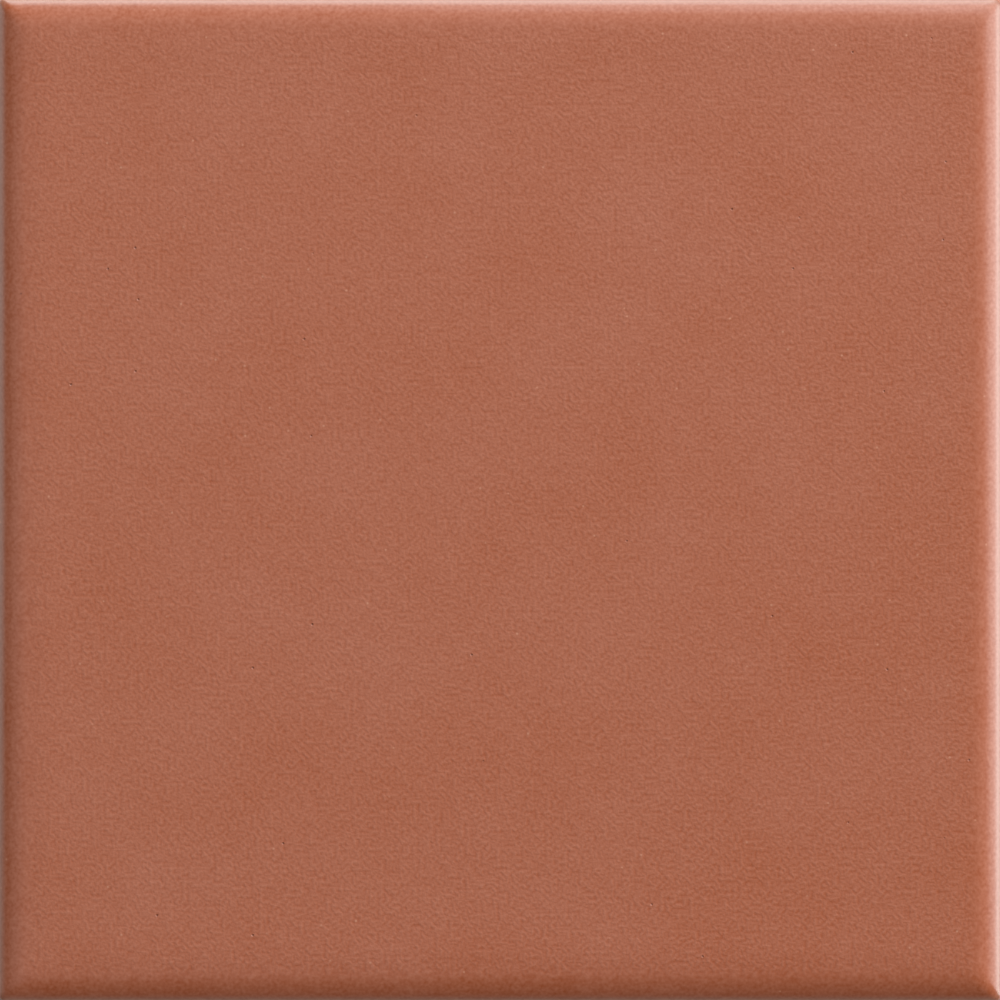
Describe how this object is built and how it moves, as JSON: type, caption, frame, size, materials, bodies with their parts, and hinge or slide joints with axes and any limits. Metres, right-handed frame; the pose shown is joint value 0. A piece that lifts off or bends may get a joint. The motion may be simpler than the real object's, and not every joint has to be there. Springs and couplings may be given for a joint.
{
  "type": "ceramic wall tile",
  "caption": "Square ceramic wall tile with a satin terracotta glaze, cushioned edges, upright joint faces and a ribbed back.",
  "frame": {"origin": "middle of the back, on the plane of the rib tops that bed in the adhesive", "axes": "+Z out of the glazed face; X and Y along the tile's sides"},
  "size_m": [0.098, 0.098, 0.0065],
  "materials": {
    "glaze": "satin"
  },
  "bodies": {
    "root": {"wall_tile": "glaze"}
  },
  "joints": []
}
